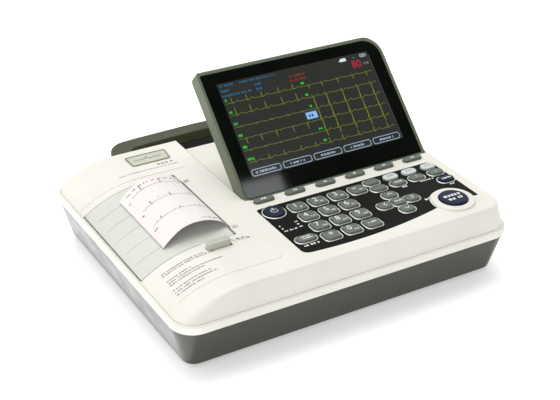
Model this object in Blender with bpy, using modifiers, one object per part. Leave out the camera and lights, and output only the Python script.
"""A portable ECG machine: housing, fold-down display, keypad, thermal printer and handle.

Case millimetres are the numbers used below: x to the right, y to the back and z up, from the
front left bottom corner of the housing. point() turns them into world metres.
"""

import math

import bmesh
import bpy
from mathutils import Vector

MM = 0.001
GAP = 0.3  # clearance between pieces that touch on the real object

# Housing
CASE_WIDTH, CASE_DEPTH = 300.8, 242.2
OVERALL_DEPTH = 278.2
FOOT_HEIGHT = 3.0
SEAM_Z, LEDGE_Z, TOP_Z = 33.4, 40.5, 57.8
TAPER = 9.94  # how far the lower case draws in at its foot
CASE_CORNER, FOOT_CORNER = 19.0, 9.8
WALL = 2.5
LEDGE = 2.2  # width of the step round the foot of the top shell's raised part
FRONT_SLOPE, BACK_SLOPE, SIDE_SLOPE = 0.393, 0.116, 0.104  # inward travel for each mm of height
DOME_RADIUS, DOME_X = 92.0, 58.0  # the left part is an arc that crests at DOME_X

# Display
DISPLAY_TILT = math.radians(43.55)
PIVOT_Y, PIVOT_Z = 115.6, 55.2
PIVOT_TO_GLASS = 3.0
DISPLAY_X = (114.9, 293.7)
DISPLAY_LENGTH, DISPLAY_THICKNESS = 115.6, 13.0
GLASS_X, GLASS_Y = (117.5, 290.7), (1.4, 112.1)
GLASS_THICKNESS = 1.6
HINGE_PIN_RADIUS, HINGE_PIN_LENGTH = 1.4, 183.6
RECESS_X, RECESS_FRONT, RECESS_FLOOR = (114.4, 294.3), 112.3, 45.0

# Printer
DOOR_X, DOOR_Y = (4.3, 83.0), (73.6, 180.9)
SLOT_RIGHT = 85.0
DOOR_PIVOT = (9.0, 38.0)
DOOR_PIN_RADIUS = 1.2
BAY_X, BAY_Y, BAY_FLOOR = (13.0, 72.0), (70.5, 184.0), 5.4
BAY_WALL = 2.2
PAPER_Y = (86.8, 167.4)
ROLL_CENTRE, ROLL_RADIUS, CORE_RADIUS = (38.0, 30.0), 20.0, 6.5
PLATEN_CENTRE, PLATEN_RADIUS = (78.0, 49.0), 5.5
GEAR_TEETH, GEAR_MODULE, GEAR_Y = 14, 0.75, (176.6, 179.6)
DRIVE_CENTRE = (79.68, 38.64)
LATCH_X, LATCH_Y = (54.6, 74.6), (61.5, 69.0)
LATCH_RECESS_X = (54.0, 79.5)
LATCH_SLOT_X, LATCH_SLOT_Y = (60.0, 74.2), (63.3, 67.2)

# Keys
PANEL_Z = (56.0, 58.2)
KEY_Z = (54.0, 60.2)
KEY_CLEARANCE = 0.35
START_CENTRE, START_RADIUS, START_BOSS_RADIUS = (263.1, 34.4), 12.2, 18.0
START_KEY_TOP, START_BOSS_TOP = 61.2, 59.5

# Handle
HANDLE_Z = (26.0, 48.0)
HANDLE_X, HANDLE_BAR = (61.0, 240.0), 15.6

# Colours: base colour, roughness, metallic
FINISHES = {
    "white_shell": ((0.86, 0.85, 0.80), 0.45, 0.0),
    "dark_shell": ((0.10, 0.10, 0.09), 0.5, 0.0),
    "olive_shell": ((0.16, 0.17, 0.14), 0.5, 0.0),
    "display_shell": ((0.30, 0.32, 0.29), 0.5, 0.0),
    "black_panel": ((0.02, 0.02, 0.02), 0.35, 0.0),
    "black_glass": ((0.01, 0.01, 0.012), 0.06, 0.0),
    "grey_key": ((0.20, 0.23, 0.21), 0.55, 0.0),
    "white_key": ((0.80, 0.82, 0.80), 0.55, 0.0),
    "navy_key": ((0.02, 0.03, 0.12), 0.45, 0.0),
    "door_shell": ((0.70, 0.73, 0.68), 0.45, 0.0),
    "paper": ((0.88, 0.87, 0.85), 0.8, 0.0),
    "steel": ((0.60, 0.60, 0.62), 0.3, 1.0),
    "rubber": ((0.03, 0.03, 0.03), 0.8, 0.0),
    "gear_plastic": ((0.75, 0.74, 0.68), 0.5, 0.0),
    "bay_plastic": ((0.12, 0.12, 0.12), 0.6, 0.0),
    "circuit_board": ((0.02, 0.20, 0.08), 0.5, 0.0),
    "battery_wrap": ((0.05, 0.10, 0.30), 0.5, 0.0),
}


def clear_scene():
    for old in list(bpy.data.objects):
        bpy.data.objects.remove(old)


def add_collection(name):
    collection = bpy.data.collections.new(name)
    bpy.context.scene.collection.children.link(collection)
    return collection


def finish(name):
    """The named Principled material."""
    if name in bpy.data.materials:
        return bpy.data.materials[name]
    material = bpy.data.materials.new(name)
    material.use_nodes = True
    colour, roughness, metallic = FINISHES[name]
    shader = material.node_tree.nodes["Principled BSDF"]
    shader.inputs["Base Color"].default_value = (*colour, 1.0)
    shader.inputs["Roughness"].default_value = roughness
    shader.inputs["Metallic"].default_value = metallic
    return material


def point(x, y, z):
    """World position of a point in case millimetres."""
    return Vector((x - CASE_WIDTH / 2, y - OVERALL_DEPTH / 2, z + FOOT_HEIGHT)) * MM


# ---------------------------------------------------------------- outlines


def filleted(corners, steps=4):
    """The outline through (x, y, radius) corners, each rounded to its radius."""
    outline = []
    for index, (x, y, radius) in enumerate(corners):
        here = Vector((x, y))
        if not radius:
            outline.append(here)
            continue
        before = (Vector(corners[index - 1][:2]) - here).normalized()
        after = (Vector(corners[(index + 1) % len(corners)][:2]) - here).normalized()
        half = before.angle(after) / 2
        centre = here + (before + after).normalized() * radius / math.sin(half)
        start = here + before * radius / math.tan(half) - centre
        end = here + after * radius / math.tan(half) - centre
        turn = math.atan2(start.x * end.y - start.y * end.x, start.dot(end))
        for step in range(steps + 1):
            a = turn * step / steps
            c, s = math.cos(a), math.sin(a)
            outline.append(centre + Vector((start.x * c - start.y * s, start.x * s + start.y * c)))
    return [p for i, p in enumerate(outline) if (p - outline[i - 1]).length > 0.02]


def rectangle(x_range, y_range, radius=0.0, steps=4, grow=0.0):
    (x0, x1), (y0, y1) = x_range, y_range
    x0, x1, y0, y1 = x0 - grow, x1 + grow, y0 - grow, y1 + grow
    r = radius + grow if radius else 0.0
    return filleted([(x0, y0, r), (x1, y0, r), (x1, y1, r), (x0, y1, r)], steps)


def centred(width, height, radius=0.0, steps=4, grow=0.0):
    return rectangle((-width / 2, width / 2), (-height / 2, height / 2), radius, steps, grow)


def moved(outline, x, y):
    return [p + Vector((x, y)) for p in outline]


def arc(centre, radius, start, end, steps):
    """Points on an arc between two angles in degrees, both ends included."""
    angles = [math.radians(start + (end - start) * i / steps) for i in range(steps + 1)]
    return [Vector(centre) + radius * Vector((math.cos(a), math.sin(a))) for a in angles]


def circle(centre, radius, steps=20):
    return arc(centre, radius, 0, 360, steps)[:-1]


# ---------------------------------------------------------------- solids


def register(obj, name, material, collection):
    obj.name = name
    for old in list(obj.users_collection):
        old.objects.unlink(obj)
    collection.objects.link(obj)
    if material:
        obj.data.materials.append(finish(material))
    if collection is CUTTERS:
        obj.hide_render = True
        obj.display_type = "WIRE"
    return obj


def extruded(name, outlines, z_range, material=None, collection=None, rounding=0.0, segments=1):
    """A flat outline, with any holes, made thick in z: a 2D curve turned into a welded mesh."""
    low, high = z_range
    curve = bpy.data.curves.new(name, "CURVE")
    curve.dimensions = "2D"
    curve.fill_mode = "BOTH"
    curve.extrude = ((high - low) / 2 - rounding) * MM
    curve.bevel_depth = rounding * MM
    curve.bevel_resolution = segments - 1
    curve.offset = -rounding * MM
    for outline in outlines:
        spline = curve.splines.new("POLY")
        spline.points.add(len(outline) - 1)
        for spot, p in zip(spline.points, outline):
            spot.co = (p.x * MM, p.y * MM, 0.0, 1.0)
        spline.use_cyclic_u = True
    guide = bpy.data.objects.new(name + "_outline", curve)
    bpy.context.scene.collection.objects.link(guide)
    bpy.context.view_layer.update()
    mesh = bpy.data.meshes.new_from_object(guide.evaluated_get(bpy.context.evaluated_depsgraph_get()))
    bpy.data.objects.remove(guide)
    work = bmesh.new()
    work.from_mesh(mesh)
    bmesh.ops.remove_doubles(work, verts=work.verts, dist=1e-6)
    bmesh.ops.translate(work, verts=work.verts, vec=(0, 0, (low + high) / 2 * MM))
    bmesh.ops.recalc_face_normals(work, faces=work.faces)
    work.to_mesh(mesh)
    work.free()
    mesh.materials.clear()
    obj = bpy.data.objects.new(name, mesh)
    return register(obj, name, material, collection or PARTS)


def profile_along_y(name, profile, y_range, material=None, collection=None):
    """An (x, z) profile made long in y."""
    y0, y1 = y_range
    obj = extruded(name, [profile], (-y1, -y0), material, collection)
    obj.rotation_euler.x = math.pi / 2
    obj.location = point(0, 0, 0)
    return obj


def profile_along_x(name, profile, x_range, material=None, collection=None):
    """A (y, z) profile made long in x, in the frame of whatever it is parented to."""
    obj = extruded(name, [profile], x_range, material, collection)
    obj.rotation_euler = (math.pi / 2, 0, math.pi / 2)
    return obj


def box(name, x_range, y_range, z_range, material=None, collection=None):
    spans = (x_range, y_range, z_range)
    bpy.ops.mesh.primitive_cube_add(size=1, location=point(*[sum(span) / 2 for span in spans]))
    obj = bpy.context.object
    for vertex in obj.data.vertices:
        for axis, (low, high) in enumerate(spans):
            vertex.co[axis] *= (high - low) * MM
    return register(obj, name, material, collection or PARTS)


def cylinder(name, centre, radius, length, axis="Z", material=None, collection=None, sides=20):
    turns = {"X": (0, math.pi / 2, 0), "Y": (math.pi / 2, 0, 0), "Z": (0, 0, 0)}
    bpy.ops.mesh.primitive_cylinder_add(
        vertices=sides, radius=radius * MM, depth=length * MM, location=point(*centre), rotation=turns[axis]
    )
    return register(bpy.context.object, name, material, collection or PARTS)


def loft(name, rings, material=None, collection=None):
    """A skin over (outline, z) rings with equal point counts, capped at both ends."""
    work = bmesh.new()
    loops = [[work.verts.new((p.x * MM, p.y * MM, z * MM)) for p in outline] for outline, z in rings]
    for lower, upper in zip(loops, loops[1:]):
        count = len(lower)
        for i in range(count):
            j = (i + 1) % count
            work.faces.new((lower[i], lower[j], upper[j], upper[i]))
    work.faces.new(reversed(loops[0]))
    work.faces.new(loops[-1])
    bmesh.ops.recalc_face_normals(work, faces=work.faces)
    mesh = bpy.data.meshes.new(name)
    work.to_mesh(mesh)
    work.free()
    obj = bpy.data.objects.new(name, mesh)
    obj.location = point(0, 0, 0)
    return register(obj, name, material, collection or PARTS)


def turned(name, profile, material=None, collection=None, steps=24):
    """A solid of revolution about local z from (radius, height) points that climb its outer side."""
    mesh = bpy.data.meshes.new(name)
    edges = [(i, i + 1) for i in range(len(profile) - 1)]
    mesh.from_pydata([(r * MM, 0, h * MM) for r, h in reversed(profile)], edges, [])
    obj = bpy.data.objects.new(name, mesh)
    screw = obj.modifiers.new("turn", "SCREW")
    screw.steps = screw.render_steps = steps
    screw.use_merge_vertices = True
    screw.merge_threshold = 1e-6
    screw.use_normal_calculate = True
    return register(obj, name, material, collection or PARTS)


def combine(obj, other, operation):
    boolean = obj.modifiers.new(operation.lower(), "BOOLEAN")
    boolean.operation = operation
    boolean.solver = "EXACT"
    boolean.object = other
    return obj


def cut(obj, *cutters):
    for cutter in cutters:
        combine(obj, cutter, "DIFFERENCE")
    return obj


def join(obj, *others):
    for other in others:
        combine(obj, other, "UNION")
    return obj


def hang_on(parent, *children):
    """Parent the children where they already stand in the world."""
    bpy.context.view_layer.update()
    for child in children:
        child.parent = parent
        child.matrix_parent_inverse = parent.matrix_world.inverted()


def add_pivot(name, location, tilt=0.0):
    pivot = bpy.data.objects.new(name, None)
    pivot.empty_display_size = 0.02
    pivot.location = location
    pivot.rotation_euler.x = tilt
    PARTS.objects.link(pivot)
    return pivot


# ---------------------------------------------------------------- housing


def case_outline(inset=0.0, radius=CASE_CORNER):
    return rectangle((inset, CASE_WIDTH - inset), (inset, CASE_DEPTH - inset), radius, steps=5)


def raised_outline(z, inset=0.0):
    """Plan outline of the raised part at height z: its front, right and back lean inwards."""
    rise = z - LEDGE_Z
    edge = LEDGE + inset
    x_range = (edge, CASE_WIDTH - edge - rise * SIDE_SLOPE)
    y_range = (edge + rise * FRONT_SLOPE, CASE_DEPTH - edge - rise * BACK_SLOPE)
    return rectangle(x_range, y_range, CASE_CORNER - edge, steps=5)


def dome_height(x):
    """Height of the top surface over x."""
    reach = min(x - DOME_X, 0.0)
    return TOP_Z - DOME_RADIUS + math.sqrt(DOME_RADIUS**2 - reach**2)


def dome_profile(inset, low):
    """Side profile, in x and z, of the domed left part and the flat top."""
    centre = (DOME_X, TOP_Z - DOME_RADIUS)
    radius = DOME_RADIUS - inset
    left = 90 + math.degrees(math.acos((low - centre[1]) / radius))
    curve = arc(centre, radius, left, 90, 12)
    right = CASE_WIDTH + 5
    return curve + [Vector((right, TOP_Z - inset)), Vector((right, low))]


def make_lower_case():
    top = SEAM_Z - GAP
    step = 0.6  # shadow line under the upper case
    inner_low = TAPER * (1 - WALL / SEAM_Z) + WALL
    case = loft(
        "lower_case",
        [
            (case_outline(TAPER, FOOT_CORNER), 0.0),
            (case_outline(step, CASE_CORNER - step), top),
            (case_outline(step + WALL, CASE_CORNER - step - WALL), top),
            (case_outline(inner_low, FOOT_CORNER - WALL), WALL),
        ],
        "dark_shell",
    )
    inlet = box("inlet_hole", (250.9, 279.1), (200, 250), (6.6, 27.4), collection=CUTTERS)
    connector = box("connector_hole", (280, 310), (109.5, 149.5), (9.1, 23.4), collection=CUTTERS)
    cut(case, inlet, connector)


def make_upper_case():
    rim = loft(
        "upper_case",
        [
            (case_outline(), SEAM_Z),
            (case_outline(), LEDGE_Z - 0.8),
            (case_outline(0.8, CASE_CORNER - 0.8), LEDGE_Z),
        ],
        "white_shell",
    )
    raised = profile_along_y("raised_part", dome_profile(0.0, 38.0), (-5, 250), collection=CUTTERS)
    raised_sides = loft("raised_sides", [(raised_outline(z), z) for z in (36.0, 60.0)], None, CUTTERS)
    combine(raised, raised_sides, "INTERSECT")
    boss = turned("start_boss", [(0, 54), (START_BOSS_RADIUS, 54), (START_BOSS_RADIUS, START_BOSS_TOP - 0.8),
                                 (START_BOSS_RADIUS - 1.2, START_BOSS_TOP), (0, START_BOSS_TOP)], None, CUTTERS)
    boss.location = point(*START_CENTRE, 0)
    join(rim, raised, boss)

    hollow = profile_along_y("hollow", dome_profile(WALL, 30.0), (-5, 250), collection=CUTTERS)
    hollow_sides = loft("hollow_sides", [(raised_outline(z, WALL), z) for z in (25.0, 60.0)], None, CUTTERS)
    tray = box("recess_tray", (RECESS_X[0] - WALL, 310), (RECESS_FRONT - WALL, 260),
               (RECESS_FLOOR - WALL, 70), collection=CUTTERS)
    combine(hollow, hollow_sides, "INTERSECT")
    cut(hollow, tray)

    recess = box("recess", RECESS_X, (RECESS_FRONT, 260), (RECESS_FLOOR, 70), collection=CUTTERS)
    bay_y = (DOOR_Y[0] - 0.4, DOOR_Y[1] + 0.4)
    door_bay = box("door_bay", (3.2, SLOT_RIGHT), bay_y, (25, 70), collection=CUTTERS)
    cut(rim, hollow, recess, door_bay, hinge_shaft("hinge_hole", 0.1, 0.8, None, CUTTERS), *top_openings())


def top_openings():
    """Cutters for everything that comes up through the flat top."""
    cutters = []
    for name, outlines, low in (
        ("latch_recess", [rectangle(LATCH_RECESS_X, (61.0, 69.5), 4.2)], 56.8),
        ("latch_slot", [rectangle(LATCH_SLOT_X, LATCH_SLOT_Y, 1.0, 2)], 50),
        ("panel_hole", [panel_outline(GAP)], 50),
        ("start_hole", [circle(START_CENTRE, START_RADIUS + KEY_CLEARANCE)], 50),
        ("function_holes", [moved(function_outline(KEY_CLEARANCE), x, FUNCTION_Y) for x in FUNCTION_XS], 52),
    ):
        cutter = extruded(name, outlines, (low, 70), None, CUTTERS)
        cutter.location = point(0, 0, 0)
        cutters.append(cutter)
    return cutters


def hinge_shaft(name, extra_radius=0.0, extra_length=0.0, material="steel", collection=None):
    """The long pin that the display turns on."""
    centre = (sum(DISPLAY_X) / 2 - 0.3, PIVOT_Y, PIVOT_Z)
    return cylinder(name, centre, HINGE_PIN_RADIUS + extra_radius, HINGE_PIN_LENGTH + extra_length, "X",
                    material, collection, sides=16)


def handle_corners(inset):
    """Plan outline of the bow: flat middle, round shoulders, square ends at the housing."""
    left, right = HANDLE_X[0] + inset, HANDLE_X[1] - inset
    back, front = OVERALL_DEPTH - inset, CASE_DEPTH + GAP
    return [(left, front, 0), (left, back - 4.5, 17 - inset * 0.6), (left + 30 - inset * 0.4, back - 2.0, 60),
            ((left + right) / 2, back, 300), (right - 30 + inset * 0.4, back - 2.0, 60),
            (right, back - 4.5, 17 - inset * 0.6), (right, front, 0)]


def make_handle():
    outer = filleted(handle_corners(0.0), 3)
    inner = filleted(handle_corners(HANDLE_BAR), 3)
    bow = extruded("carry_handle", [outer + inner[::-1]], HANDLE_Z, "olive_shell")
    bow.location = point(0, 0, 0)


def make_feet():
    left, right, front, back = 34, CASE_WIDTH - 34, 34, CASE_DEPTH - 34
    places = {"front_left": (left, front), "front_right": (right, front),
              "back_left": (left, back), "back_right": (right, back)}
    for name, (x, y) in places.items():
        side = [(0, -FOOT_HEIGHT), (6.5, -FOOT_HEIGHT), (7.5, -2.2), (7.5, -GAP), (0, -GAP)]
        foot = turned("foot_" + name, side, "rubber", steps=20)
        foot.location = point(x, y, 0)


# ---------------------------------------------------------------- keypad


def panel_outline(grow=0.0):
    """The black overlay: square at the back, bowed at the front, notched round the start key's boss."""
    notch = START_BOSS_RADIUS + 1.3 - grow
    left, right, back = 115.6 - grow, 286.4 + grow, 97.0 + grow
    bow = [Vector((x, 21.4 + 9.0 * ((x - 160) / 82) ** 2 - grow)) for x in range(126, 239, 16)]
    corner = filleted([(bow[0].x, bow[0].y, 0), (left, 24.0 - grow, 6.0), (left, back, 3.0),
                       (right, back, 6.0), (right, 31.8 - grow, 1.5), (276.0, 31.8 - grow, 0)], 3)
    return bow[1:] + arc(START_CENTRE, notch, 191, -6, 12) + corner[-2::-1]


def rounded_key(width, height, radius, steps=3):
    """An outline function that can be asked to grow, for the hole a key comes through."""
    return lambda grow=0.0: centred(width, height, radius, steps, grow)


def round_key(radius):
    return lambda grow=0.0: circle((0, 0), radius + grow, 18)


NUMBER_XS, NUMBER_YS = (146.6, 165.6, 184.6, 203.6), (84.6, 68.1, 51.5, 34.9)
NUMBER_KEYS = (("1", "2", "3", "backspace"), ("4", "5", "6"), ("7", "8", "9"), ("star", "0", "shift"))
FUNCTION_Y = 107.6
FUNCTION_XS = tuple(129.0 + 29.25 * i for i in range(6))
OVAL_XS, OVAL_YS = (220.6, 239.8, 258.6, 278.2), (89.4, 78.2)
PAD_CENTRE = (221.6, 52.3)
PAD_STEPS = {"up": (0, 12.4), "down": (0, -12.4), "left": (-13.2, 0), "right": (13.2, 0)}
function_outline = rounded_key(18.5, 6.2, 3.1)


def panel_keys():
    """Every key that comes through the overlay: name, x, y, outline, finish."""
    number = rounded_key(13.8, 11.8, 3.0, 2)
    oval = rounded_key(14.0, 8.5, 4.25)
    arrow = rounded_key(12.6, 9.6, 4.2)
    keys = []
    for names, y in zip(NUMBER_KEYS, NUMBER_YS):
        keys += [("key_" + name, x, y, number, "grey_key") for name, x in zip(names, NUMBER_XS)]
    keys.append(("key_power", 126.1, 86.6, round_key(8.7), "navy_key"))
    keys.append(("key_caps", 127.1, 40.3, rounded_key(17.0, 9.0, 4.5), "grey_key"))
    for row, y in enumerate(OVAL_YS, 1):
        for column, x in enumerate(OVAL_XS, 1):
            colour = "white_key" if row == 1 and column > 1 else "grey_key"
            keys.append((f"key_oval_{row}{column}", x, y, oval, colour))
    keys.append(("key_copy", 278.6, 64.3, rounded_key(14.5, 9.0, 4.5), "navy_key"))
    for name, (dx, dy) in PAD_STEPS.items():
        keys.append(("key_" + name, PAD_CENTRE[0] + dx, PAD_CENTRE[1] + dy, arrow, "grey_key"))
    keys.append(("key_enter", *PAD_CENTRE, rounded_key(11.0, 10.0, 2.0, 2), "grey_key"))
    return keys


def make_key(name, x, y, outline, colour, top=KEY_Z[1], rounding=0.7):
    key = extruded(name, [outline()], (KEY_Z[0] - top, 0.0), colour, rounding=rounding)
    key.location = point(x, y, top)


def make_keypad():
    keys = panel_keys()
    holes = [moved(outline(KEY_CLEARANCE), x, y) for _, x, y, outline, _ in keys]
    panel = extruded("keypad_panel", [panel_outline()] + holes, PANEL_Z, "black_panel")
    panel.location = point(0, 0, 0)
    for key in keys:
        make_key(*key)
    for index, x in enumerate(FUNCTION_XS):
        make_key(f"key_f{index}", x, FUNCTION_Y, function_outline, "grey_key")
    make_key("key_start", *START_CENTRE, round_key(START_RADIUS), "navy_key", START_KEY_TOP, 1.2)


# ---------------------------------------------------------------- display


def make_display():
    """Housing and glass, in the pivot's frame: y up the slope, z out of the glass."""
    pivot = add_pivot("display_pivot", point(CASE_WIDTH / 2, PIVOT_Y, PIVOT_Z), DISPLAY_TILT)
    rear = PIVOT_TO_GLASS - DISPLAY_THICKNESS
    seat = PIVOT_TO_GLASS - GLASS_THICKNESS
    left, right = DISPLAY_X
    side = arc((0, 0), PIVOT_TO_GLASS, 270, 90, 10)
    side += filleted([(DISPLAY_LENGTH, PIVOT_TO_GLASS, 1.2), (DISPLAY_LENGTH, rear, 5.0), (5.0, rear, 4.0),
                      (0.6, -PIVOT_TO_GLASS - 1.5, 0)], 3)
    face = filleted([(left, -4, 0), (right, -4, 0), (right, DISPLAY_LENGTH, 18), (left, DISPLAY_LENGTH, 3)], 6)
    inside = rectangle((121, 287), (7, DISPLAY_LENGTH - 7.6), 8)
    housing = profile_along_x("display_housing", side, DISPLAY_X, "display_shell")
    front = extruded("display_front", [face], (-20, 10), None, CUTTERS)
    pocket = extruded("glass_pocket", [glass_outline(GAP)], (seat - GAP, 10), None, CUTTERS)
    hollow = extruded("display_hollow", [inside], (rear + WALL, 10), None, CUTTERS)
    bore = profile_along_x("hinge_bore", circle((0, 0), HINGE_PIN_RADIUS + 0.08, 16), (110, 300), None, CUTTERS)
    glass = extruded("display_glass", [glass_outline()], (seat, PIVOT_TO_GLASS), "black_glass")
    for piece in (housing, front, pocket, hollow, bore, glass):
        piece.parent = pivot
        piece.location.x = -CASE_WIDTH / 2 * MM
    combine(housing, front, "INTERSECT")
    cut(housing, pocket, hollow, bore)
    hinge_shaft("display_hinge_shaft")


def glass_outline(grow=0.0):
    (x0, x1), (y0, y1) = GLASS_X, GLASS_Y
    x0, x1, y0, y1 = x0 - grow, x1 + grow, y0 - grow, y1 + grow
    return filleted([(x0, y0, 1.5), (x1, y0, 1.5), (x1, y1, 15 + grow), (x0, y1, 1.5)], 6)


# ---------------------------------------------------------------- printer


def gear_outline():
    """Straight-flanked teeth, thinned to leave backlash."""
    pitch = GEAR_TEETH * GEAR_MODULE / 2
    tip, root = pitch + 0.85 * GEAR_MODULE, pitch - 1.2 * GEAR_MODULE
    step = 2 * math.pi / GEAR_TEETH
    flanks = ((-0.30, root), (-0.11, tip), (0.11, tip), (0.30, root))
    return [radius * Vector((math.cos(step * (tooth + offset)), math.sin(step * (tooth + offset))))
            for tooth in range(GEAR_TEETH) for offset, radius in flanks]


def along_y(obj, centre, y):
    """Lay a piece made about local z along -y, with its local zero at this y."""
    obj.rotation_euler.x = math.pi / 2
    obj.location = point(centre[0], y, centre[1])
    return obj


def make_door():
    x, z = DOOR_PIVOT
    pivot = add_pivot("door_pivot", point(x, sum(DOOR_Y) / 2, z))
    top, underside = [Vector((100, TOP_Z))], [Vector((100, TOP_Z - WALL))]
    shell = dome_profile(0.0, 30.0)[:-2] + top + underside + dome_profile(WALL, 30.0)[:-2][::-1]
    skin = profile_along_y("paper_door", shell, DOOR_Y, "door_shell")
    trim = box("door_trim", DOOR_X, (60, 200), (36, 70), collection=CUTTERS)
    combine(skin, trim, "INTERSECT")
    arm = filleted([(71.5, 56, 0), (71.5, 45.5, 3), (82.6, 45.5, 3), (82.6, 56, 0)], 2)
    knuckle = [Vector((x - 2.6, 42.2)), *arc((x, z), 2.6, 180, 360, 6), Vector((x + 2.6, 43))]
    spans = [(arm, (77.5, 81.0)), (arm, (172.5, 176.0)), (knuckle, (78.0, 84.0)), (knuckle, (124.0, 130.0)),
             (knuckle, (170.5, 176.5))]
    ribs = [profile_along_y(f"door_rib_{i}", outline, y_range, collection=CUTTERS)
            for i, (outline, y_range) in enumerate(spans)]
    pin = cylinder("door_pin", (x, sum(BAY_Y) / 2, z), DOOR_PIN_RADIUS, BAY_Y[1] - BAY_Y[0] - 0.6, "Y",
                   collection=CUTTERS, sides=12)
    join(skin, *ribs, pin)
    bearing = cylinder("platen_bearing", (PLATEN_CENTRE[0], 127, PLATEN_CENTRE[1]), 2.1, 120, "Y",
                       collection=CUTTERS, sides=16)
    cut(skin, bearing)
    hang_on(pivot, skin)


def make_platen():
    shaft, length = 2.0, PAPER_Y[1] - PAPER_Y[0] + 5
    start = GEAR_Y[1] - PAPER_Y[1] - 2.5
    end = GEAR_Y[1] - 77.0
    side = [(0, -0.2), (shaft, -0.2), (shaft, start), (PLATEN_RADIUS, start), (PLATEN_RADIUS, start + length),
            (shaft, start + length), (shaft, end), (0, end)]
    roller = turned("platen_roller", side, "rubber")
    along_y(roller, PLATEN_CENTRE, GEAR_Y[1])
    gear = extruded("platen_gear", [gear_outline()], (0, GEAR_Y[1] - GEAR_Y[0]), None, CUTTERS)
    along_y(gear, PLATEN_CENTRE, GEAR_Y[1])
    join(roller, gear)


def make_drive():
    gear = extruded("drive_gear", [gear_outline()], (0, GEAR_Y[1] - GEAR_Y[0]), "gear_plastic")
    along_y(gear, DRIVE_CENTRE, GEAR_Y[1])
    gear.rotation_euler.y = mesh_phase()
    middle = (DRIVE_CENTRE[0], 183.0, DRIVE_CENTRE[1])
    shaft = cylinder("drive_shaft", middle, 1.2, 12, "Y", collection=CUTTERS, sides=12)
    join(gear, shaft)
    motor = turned("paper_motor", [(0, -24.0), (11.0, -24.0), (12.5, -22.5), (12.5, 0.0), (1.35, 0.0),
                                   (1.35, -8.0), (0, -8.0)], "steel")
    motor.rotation_euler.x = math.pi / 2
    motor.location = point(DRIVE_CENTRE[0], 184.6, DRIVE_CENTRE[1])


def mesh_phase():
    """Turn of the drive gear that puts a gap where the platen gear has a tooth."""
    step = 2 * math.pi / GEAR_TEETH
    dx, dz = DRIVE_CENTRE[0] - PLATEN_CENTRE[0], DRIVE_CENTRE[1] - PLATEN_CENTRE[1]
    toward = math.atan2(dz, dx)
    platen_tooth = toward / step - math.floor(toward / step)
    back = (toward + math.pi) / step
    drive_tooth = back - math.floor(back)
    return -(platen_tooth + drive_tooth - 0.5) * step


def make_roll():
    length = PAPER_Y[1] - PAPER_Y[0]
    rings = [circle((0, 0), ROLL_RADIUS, 32), circle((0, 0), CORE_RADIUS, 16)]
    roll = extruded("paper_roll", rings, (0, length), "paper")
    along_y(roll, ROLL_CENTRE, PAPER_Y[1])


def make_bay():
    """Tub for the roll, with ears for the door's pivots."""
    (x0, x1), (y0, y1) = BAY_X, BAY_Y
    wall, low = 1.8, BAY_FLOOR + 1.8
    tub = box("paper_bay", BAY_X, BAY_Y, (BAY_FLOOR, 33.0), "bay_plastic")
    room = filleted([(x0 + wall, 60, 0), (x0 + wall, low, 12), (x1 - wall, low, 12), (x1 - wall, 60, 0)], 4)
    inside = profile_along_y("bay_inside", room, (y0 + BAY_WALL, y1 - BAY_WALL), collection=CUTTERS)
    cut(tub, inside)
    ear = [Vector(corner) for corner in ((5.6, 30), (22, 30), (22, 40.3), (9.2, 40.3), (5.6, 37.6))]
    ends = {"front": (y0, y0 + BAY_WALL), "back": (y1 - BAY_WALL, y1)}
    ears = [profile_along_y(f"bay_ear_{end}", ear, span, collection=CUTTERS) for end, span in ends.items()]
    pivot_hole = cylinder("bay_pivot", (DOOR_PIVOT[0], sum(BAY_Y) / 2, DOOR_PIVOT[1]), DOOR_PIN_RADIUS + 0.1,
                          y1 - y0 + 4, "Y", collection=CUTTERS, sides=12)
    join(tub, *ears)
    cut(tub, pivot_hole)


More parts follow.
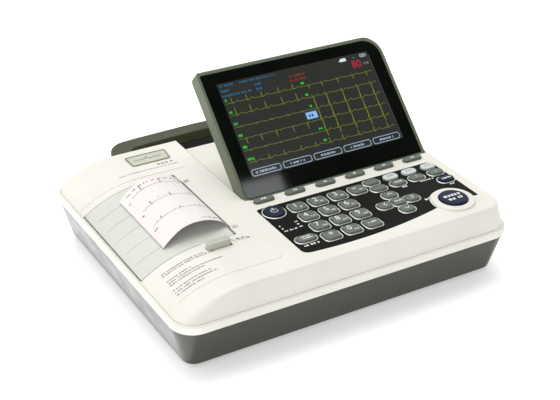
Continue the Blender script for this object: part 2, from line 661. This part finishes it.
def make_paper_strip():
    """The printed paper: up out of the slot, over to the left and down onto the door."""
    route = [(84.0, 50.0), (84.05, 54.5), (83.9, 57.5), (81.6, 61.0), (77.7, 64.2), (69.0, 67.9), (60.5, 69.3),
             (52.0, 69.0), (43.5, 66.3), (35.0, 60.2), (29.2, 54.5)]
    work = bmesh.new()
    rows = [[work.verts.new(point(x, y, z)) for y in PAPER_Y] for x, z in route]
    for one, two in zip(rows, rows[1:]):
        work.faces.new((one[0], two[0], two[1], one[1]))
    mesh = bpy.data.meshes.new("paper_strip")
    work.to_mesh(mesh)
    work.free()
    strip = register(bpy.data.objects.new("paper_strip", mesh), "paper_strip", "paper", PARTS)
    thick = strip.modifiers.new("thickness", "SOLIDIFY")
    thick.thickness = 0.3 * MM
    thick.offset = 0.0
    hang_on(bpy.data.objects["door_pivot"], strip)


def make_latch():
    y = sum(LATCH_Y) / 2
    z0, z1 = 57.1, 63.0
    outline = moved(rectangle(LATCH_X, LATCH_Y, 3.6), -LATCH_X[0], -y)
    knob = extruded("door_latch", [outline], (z0 - TOP_Z, z1 - TOP_Z), "door_shell", rounding=0.8)
    knob.location = point(LATCH_X[0], y, TOP_Z)
    stem_x = (LATCH_SLOT_X[0] + 0.5, LATCH_SLOT_X[1] - 4.6)
    stem_y = (LATCH_SLOT_Y[0] + 0.5, LATCH_SLOT_Y[1] - 0.5)
    join(knob, box("latch_stem", stem_x, stem_y, (51.0, 58.0), collection=CUTTERS))


# ---------------------------------------------------------------- inside and connectors


def make_insides():
    box("print_head", (84.6, 90.0), (84.0, 170.0), (42.0, 54.6), "steel")
    board = extruded("main_board", [rectangle((119, 284), (24, 109), 3, 2)], (50.0, 51.6), "circuit_board")
    board.location = point(0, 0, 0)
    pack = box("battery_pack", (150, 225), (140, 190), (3.2, 24), "battery_wrap")
    rounded = pack.modifiers.new("edges", "BEVEL")
    rounded.width = 2 * MM
    rounded.segments = 2


def make_connectors():
    inlet = box("power_inlet", (251.4, 278.6), (206, 236.5), (7.1, 26.9), "black_panel")
    mouth = rectangle((253.0, 277.0), (8.9, 25.1), 3.0, 2)
    cut(inlet, profile_along_y("inlet_socket", mouth, (220, 260), collection=CUTTERS))
    connector = box("patient_connector", (282.0, 295.4), (110, 149), (9.6, 22.9), "steel")
    mouth = rectangle((116.6, 142.4), (12.0, 20.5), 2.0, 2)
    socket = profile_along_x("connector_socket", mouth, (289.0, 300), None, CUTTERS)
    socket.location = point(0, 0, 0)
    cut(connector, socket)


clear_scene()
PARTS = add_collection("ecg_machine")
CUTTERS = add_collection("cutters")
make_lower_case()
make_upper_case()
make_handle()
make_feet()
make_keypad()
make_display()
make_door()
make_latch()
make_platen()
make_drive()
make_roll()
make_bay()
make_paper_strip()
make_insides()
make_connectors()
